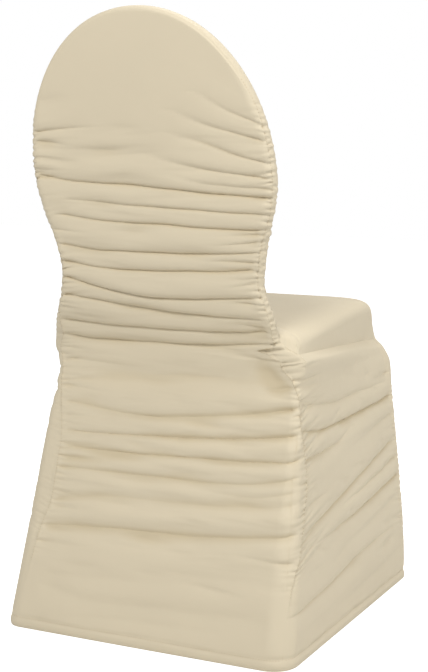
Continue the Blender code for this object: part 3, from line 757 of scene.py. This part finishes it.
def front_panel():
    """Skirt front, cushion and seat top, and inner back up to the crown, in one long panel."""
    columns, rows = FRONT_GRID
    stations = front_stations()
    middle = stations[:, 3:5]
    length = np.concatenate([[0.0], np.cumsum(np.linalg.norm(np.diff(middle, axis=0), axis=1))])
    corner_z = float(arch_height(CROWN_CORNER_HALF))
    waist = stations[-1, 6]
    total = length[-1] + (HEIGHT - waist)
    along = np.linspace(0.0, total, rows + 1)
    lap_rows = along[along <= length[-1]]
    curves = [soft_curve(lap_rows, length, stations[:, k]) for k in range(7)]
    across = columns_to_edges(columns)
    lift = (1 - np.abs(across)[None, :] ** curves[5][:, None]) ** (1 / curves[5][:, None])
    # The side panel's top edge is drawn in evenly towards the rear, so this panel's edge follows it there
    tuck_z = np.maximum(curves[2], SIDE_TOP_REAR_Z)
    tuck = half_width(tuck_z, 1) - half_width(tuck_z, -1)
    tuck *= np.clip((curves[2] - NOTCH_Z) / (SIDE_TOP_REAR_Z - NOTCH_Z), 0.0, 1.0)
    x = across * (curves[0][:, None] - tuck[:, None] * (across < 0))
    rise = np.clip((curves[4] - curves[2]) / CUSHION_RISE, 0.0, 1.0)
    x *= 1 - CUSHION_LEAN * rise[:, None] * lift
    y = curves[1][:, None] + (curves[3] - curves[1])[:, None] * lift
    z = curves[2][:, None] + (curves[4] - curves[2])[:, None] * lift
    lap = np.stack([x, y, z], axis=2)
    upper = along[along > length[-1]] - length[-1]
    share = upper / (total - length[-1])
    upper_z = waist + (corner_z - waist) * (1 - (1 - share) ** CROWN_CROWD)
    seam_z = np.concatenate([curves[6], upper_z])
    grid_across, grid_seam = np.meshgrid(across, seam_z)
    plane_x, plane_z = back_plane(grid_across, grid_seam)
    inward = depth_inside(plane_x, plane_z)
    plane_y = seam_y(plane_z) - quarter_round(inward, INNER_ROUND, INNER_ROUND)
    points = np.stack([plane_x, plane_y, plane_z], axis=2)
    count = len(lap_rows)
    blend = ease((curves[6] - LAP_STATIONS[-3][0]) / (waist - LAP_STATIONS[-3][0]))[:, None, None]
    points[:count] = lap + (points[:count] - lap) * blend
    normals = grid_normals(points)
    grid_along = np.broadcast_to(along[:, None], grid_across.shape)
    fold = front_fold(grid_across, grid_along, points, length[-1], total)
    edge = from_border(points, grid_across)
    lift = hem_roll(points[..., 2], points[..., 0]) * (grid_along < 0.1) - fold
    points += (lift * ease(edge / 0.003))[..., None] * normals
    pucker_edges(points, grid_across, grid_seam)
    points[0, :, 2] = 0.0
    skirt = points[:HEM_ROWS]
    keep_crossings(HEM_LINE["front_sheet"], skirt.transpose(1, 0, 2), (skirt[..., 2] - STITCH_HEM_Z).T)
    return cloth_sheet("front_sheet", points, grid_across * FRONT_CUT_HALF, grid_along, fold, flip=False)


def hip_fold(y, z, side):
    """How far the cloth on the side is drawn in by the folds that start at the hip."""
    drop, share = (0, 1.0) if side < 0 else (LEFT_HIP_DROP, LEFT_HIP_SHARE)
    return share * creases(HIP_CREASES, (HIP_FRONT_OF - y) / MM, z / MM + drop, tail=30)


def front_fold(across, along, points, waist_along, total):
    """How far the front panel's cloth is drawn in: soft pulls at the corners and gathers at the seams."""
    fold = np.zeros_like(across)
    for start, from_along, end, to_along, deep, reach, softness in FRONT_CREASES:
        share = (across - start) / (end - start)
        line = from_along + (to_along - from_along) * share
        fade = ease(share / 0.12 + 0.4) * (1 - ease((share - 0.55) / 0.45))
        fold += deep * MM * fade * trough(along - line, reach * MM, softness)
    inward = from_border(points, across)
    fold *= ease(inward / 0.02)
    back_start, back_end = waist_along - 0.20, total - 0.22
    for seed, side in ((37, -1), (41, 1)):
        mask = across * side > 0
        fold += mask * gathers(seed, back_start, back_end, along, inward * 0.8, 0.0, 1.1)
        fold += mask * gathers(seed + 1, 0.05, 0.36, along, inward, 0.25, 0.7)
        fold += mask * gathers(seed + 2, waist_along - 0.16, waist_along, along, inward * 0.55, 0.0, 0.9)
        border = np.abs(points[:, :1, 0] if side < 0 else points[:, -1:, 0])
        outer_face = ease((np.abs(points[..., 0]) - border + HIP_FADE) / HIP_FADE * 1.25)
        outer_face *= mask * (along < waist_along)
        outer_face *= ease((points[..., 1] - front_corner(NOTCH_Z)[1]) / HIP_START)
        points[..., 0] -= side * (outer_face * hip_fold(points[..., 1], points[..., 2], side))
    return fold


def side_panel(name, table, side, seed):
    """Skirt side from the rear corner to the front corner seam; side is -1 right and 1 left."""
    columns, rows = SIDE_GRID
    forward, up = np.meshgrid(np.linspace(0.0, 1.0, columns + 1) ** 1.5, np.linspace(0.0, 1.0, rows + 1))
    z = up * (SIDE_TOP_REAR_Z + (NOTCH_Z - SIDE_TOP_REAR_Z) * forward)
    rear_z, front_z = up * SIDE_TOP_REAR_Z, up * NOTCH_Z
    rear_y = rear_edge(rear_z, side)[1]
    front_half, front_y = front_corner(front_z)
    y = rear_y + (front_y - rear_y) * forward
    turned, walked = side_turn(rear_y - y, rear_z, side)
    rear_half = half_width(rear_z, side)
    x = rear_half + (front_half - rear_half) * forward - turned
    points = np.stack([side * x, y, z], axis=2)
    normals = grid_normals(points) * -side
    off = beyond_seam(walked, z, side, True)
    to_front = y - front_y
    place = side * (half_width(rear_z) + walked)
    fold = back_fold(place, z, side, off)
    fold += side_fold(table, forward * 1000, z, off) * (0.3 + 0.7 * ease(to_front / 0.012))
    fold += seam_folds(off, z, side) * ease(to_front / 0.05)
    fold += gathers(seed, 0.060, 0.380, z, np.maximum(to_front, 0.0), 0.05, 0.6)
    held = ease(to_front / 0.003) * ease(SIDE_TOP_REAR_Z * (1 - up) / 0.014)
    points[..., 0] -= side * hip_fold(y, z, side) * ease(to_front / HIP_START)
    lift = hem_roll(z, place) - fold
    points += (lift * held)[..., None] * normals
    points[0, :, 2] = 0.0
    hand = "right" if side < 0 else "left"
    keep_crossings(SEAM_LINE[hand], points[SEAM_START_ROW:], off[SEAM_START_ROW:])
    keep_crossings(HEM_LINE[name], points.transpose(1, 0, 2), (z - STITCH_HEM_Z).T)
    return cloth_sheet(name, points, walked, z * SIDE_SLACK, fold, flip=side > 0)


CLOTH_TONE = (0.655, 0.571, 0.417, 1.0)
# Painted shade: a darker, warmer tone that the cloth's colour is mixed towards in its deep creases, standing
# in for the shade and warm bounced light there
PAINTED_CREASE_SHADE = (0.560, 0.462, 0.292, 1.0)
WHITE = (1.0, 1.0, 1.0, 1.0)


def feed(tree, node, given):
    """Set a node's inputs to values or link them to other nodes' outputs, and hand the node back."""
    for name, value in given.items():
        if isinstance(value, bpy.types.NodeSocket):
            tree.links.new(value, node.inputs[name])
        else:
            node.inputs[name].default_value = value
    return node


def add(tree, kind, given=(), **settings):
    """New shader node of a kind, with its settings and then its inputs."""
    node = tree.nodes.new("ShaderNode" + kind)
    for name, value in settings.items():
        setattr(node, name, value)
    return feed(tree, node, dict(given))


def new_material(name):
    """Material with its node tree and its one shader."""
    material = bpy.data.materials.new(name)
    material.use_nodes = True
    return material, material.node_tree, material.node_tree.nodes["Principled BSDF"]


def knit_group():
    """Shader group: champagne stretch knit, its colour with painted shade in the deep creases, roughness and
    fine bump.
    """
    group = bpy.data.node_groups.new("stretch_knit", "ShaderNodeTree")
    for name, way, kind in (
            ("Tone", "INPUT", "Color"), ("Painted Crease Shade", "INPUT", "Color"), ("Color", "OUTPUT", "Color"),
            ("Roughness", "OUTPUT", "Float"), ("Normal", "OUTPUT", "Vector")):
        group.interface.new_socket(name, in_out=way, socket_type="NodeSocket" + kind)
    given = group.nodes.new("NodeGroupInput").outputs
    cut = add(group, "UVMap", uv_map="cut_cloth").outputs["UV"]
    place = add(group, "TexCoord").outputs["Object"]

    ribs = add(group, "TexWave", {
        "Vector": cut, "Scale": 260.0, "Distortion": 1.2, "Detail": 1.0, "Detail Scale": 3.0},
        wave_type="BANDS", bands_direction="X")
    rows = add(group, "TexWave", {"Vector": cut, "Scale": 300.0, "Distortion": 0.8},
               wave_type="BANDS", bands_direction="Y")
    weave = add(group, "Math", {0: ribs.outputs["Fac"], 1: rows.outputs["Fac"]}, operation="MULTIPLY")
    slub = add(group, "TexNoise", {"Vector": place, "Scale": 55.0, "Detail": 3.0}).outputs["Fac"]
    cloud = add(group, "TexNoise", {"Vector": place, "Scale": 5.0, "Detail": 2.0}).outputs["Fac"]

    # Painted shade: the deeper a fold, the more the colour is mixed towards the darker crease tone
    fold = add(group, "Attribute", attribute_name="fold_depth").outputs["Fac"]
    deep = add(group, "MapRange", {"Value": fold, "From Min": 0.35, "From Max": 1.0, "To Max": 0.55})
    shaded_tone = add(group, "Mix", {
        "Factor": deep.outputs["Result"], "A": given["Tone"], "B": given["Painted Crease Shade"]}, data_type="RGBA")
    light = add(group, "MapRange", {"Value": cloud, "To Min": 0.965, "To Max": 1.035})
    shade = add(group, "VectorMath", {
        0: shaded_tone.outputs["Result"], "Scale": light.outputs["Result"]}, operation="SCALE")
    gloss = add(group, "MapRange", {"Value": slub, "To Min": 0.56, "To Max": 0.72})
    fine = add(group, "Bump", {"Strength": 0.25, "Distance": 0.00025, "Height": weave.outputs["Value"]})
    soft = add(group, "Bump", {
        "Strength": 0.20, "Distance": 0.0010, "Height": slub, "Normal": fine.outputs["Normal"]})
    feed(group, group.nodes.new("NodeGroupOutput"), {
        "Color": shade.outputs["Vector"], "Roughness": gloss.outputs["Result"],
        "Normal": soft.outputs["Normal"]})
    return group


def knit_material():
    """Cloth material: the knit group drives colour, roughness and normal of one shader."""
    material, tree, shader = new_material("champagne_knit")
    # The second tone is painted shade for the deep creases
    tones = {"Tone": CLOTH_TONE, "Painted Crease Shade": PAINTED_CREASE_SHADE}
    knit = add(tree, "Group", tones, node_tree=knit_group()).outputs
    feed(tree, shader, {
        "Base Color": knit["Color"], "Roughness": knit["Roughness"], "Normal": knit["Normal"],
        "Specular IOR Level": 0.30, "Sheen Weight": 0.12, "Sheen Roughness": 0.45,
        "Sheen Tint": (1.0, 0.97, 0.90, 1.0)})
    return material


def thread_material():
    """Sewing thread: a twisted polyester yarn a little deeper in tone than the cloth."""
    material, tree, shader = new_material("champagne_thread")
    place = add(tree, "TexCoord").outputs["Object"]
    twist = add(tree, "TexWave", {"Vector": place, "Scale": 900.0},
                wave_type="BANDS", bands_direction="DIAGONAL").outputs["Fac"]
    tone = add(tree, "Mix", {
        "Factor": twist, "A": (0.48, 0.39, 0.24, 1.0), "B": (0.64, 0.54, 0.37, 1.0)}, data_type="RGBA")
    ply = add(tree, "Bump", {"Strength": 0.4, "Distance": 0.0001, "Height": twist})
    feed(tree, shader, {
        "Base Color": tone.outputs["Result"], "Roughness": 0.45, "Normal": ply.outputs["Normal"]})
    return material


def aim(thing, target):
    """Turn a light or camera so that it looks at a point."""
    thing.rotation_euler = (Vector(target) - thing.location).to_track_quat("-Z", "Y").to_euler()


# Soft lights: name, place, what they look at, size and power, and the strength of the room's own light
LIGHTS = (
    ("top_light", (-0.3, 2.0, 2.25), (0.0, 0.1, 0.45), 0.8, 36),
    ("side_light", (-2.1, -0.1, 2.0), (0.0, -0.1, 0.35), 0.9, 25.5),
    ("seat_light", (0.3, -1.1, 2.6), (0.0, -0.1, 0.45), 0.9, 16),
)
ROOM_LIGHT = 0.44
FLOOR_GLOW = 0.75


def soft_light(name, place, target, size, power):
    """Round area light that looks at a point."""
    bpy.ops.object.light_add(type="AREA", location=place)
    lamp = bpy.context.object
    lamp.name = name
    lamp.data.shape = "DISK"
    lamp.data.size = size
    lamp.data.energy = power
    aim(lamp, target)


def studio():
    """Pale floor, plain white surroundings and soft light from above."""
    bpy.ops.mesh.primitive_plane_add(size=14.0, location=(0, 0, -0.0005))
    floor = bpy.context.object
    floor.name = "studio_floor"
    paper, tree, shader = new_material("studio_paper")
    seen = add(tree, "LightPath").outputs["Is Camera Ray"]
    glow = add(tree, "Math", {0: seen, 1: FLOOR_GLOW}, operation="MULTIPLY")
    feed(tree, shader, {
        "Base Color": (0.80, 0.80, 0.80, 1.0), "Roughness": 0.9, "Emission Color": WHITE,
        "Emission Strength": glow.outputs["Value"]})
    floor.data.materials.append(paper)
    world = bpy.data.worlds.new("studio")
    world.use_nodes = True
    tree = world.node_tree
    room = feed(tree, tree.nodes["Background"], {"Color": WHITE, "Strength": ROOM_LIGHT})
    white = add(tree, "Background", {"Color": WHITE})
    seen = add(tree, "LightPath").outputs["Is Camera Ray"]
    pick = add(tree, "MixShader", {
        "Fac": seen, 1: room.outputs["Background"], 2: white.outputs["Background"]})
    feed(tree, tree.nodes["World Output"], {"Surface": pick.outputs["Shader"]})
    bpy.context.scene.world = world
    for light in LIGHTS:
        soft_light(*light)
    bpy.context.scene.view_settings.view_transform = "Standard"


# Camera, from the outline of the cover in the 428 x 672 photograph
CAMERA_YAW, CAMERA_PITCH = 26.20, 8.03
CAMERA_DISTANCE = 2.3455
CAMERA_TARGET = (0.0, -0.0112, 0.45)
FOCAL_PIXELS = 1457.67
CENTRE_PIXELS = (218.78, 326.46)
FRAME_PIXELS = (428, 672)
SENSOR = 36.0


def camera():
    """Camera that sees the cover as the photograph does."""
    yaw, pitch = math.radians(CAMERA_YAW), math.radians(CAMERA_PITCH)
    away = Vector((-math.sin(yaw) * math.cos(pitch), math.cos(yaw) * math.cos(pitch), math.sin(pitch)))
    bpy.ops.object.camera_add(location=Vector(CAMERA_TARGET) + away * CAMERA_DISTANCE)
    eye = bpy.context.object
    eye.name = "photo_camera"
    aim(eye, CAMERA_TARGET)
    eye.data.sensor_width = SENSOR
    eye.data.lens = FOCAL_PIXELS * SENSOR / FRAME_PIXELS[1]
    eye.data.shift_x = (FRAME_PIXELS[0] / 2 - CENTRE_PIXELS[0]) / FRAME_PIXELS[1]
    eye.data.shift_y = (CENTRE_PIXELS[1] - FRAME_PIXELS[1] / 2) / FRAME_PIXELS[1]
    bpy.context.scene.camera = eye


camera()
studio()

champagne, thread = knit_material(), thread_material()
back_sheet, front_sheet = back_panel(), front_panel()
right_sheet = side_panel("side_sheet_right", RIGHT_CREASES, -1, 53)
left_sheet = side_panel("side_sheet_left", LEFT_CREASES, 1, 67)
seam_threads = [
    thread_line("seam_thread_" + hand, SEAM_LINE[hand], UP, thread) for hand in ("right", "left")]
hem_threads = {
    sheet: thread_line("hem_thread_" + sheet, line, FRONT_TO_REAR if "side" in sheet else ACROSS, thread)
    for sheet, line in HEM_LINE.items()}
for sheet, node, flat, area, held, threads in (
        (back_sheet, "back_panel", (0.46, 1.16), 0.45, "gathered", seam_threads),
        (front_sheet, "front_panel", (0.48, 1.34), 0.58, "stretched", []),
        (right_sheet, "side_panel_right", (0.46, 0.50), 0.20, "gathered", []),
        (left_sheet, "side_panel_left", (0.46, 0.50), 0.20, "gathered", [])):
    sheet.data.materials.clear()
    sheet.data.materials.append(champagne)
    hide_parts(node)
    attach(sheet, "root")
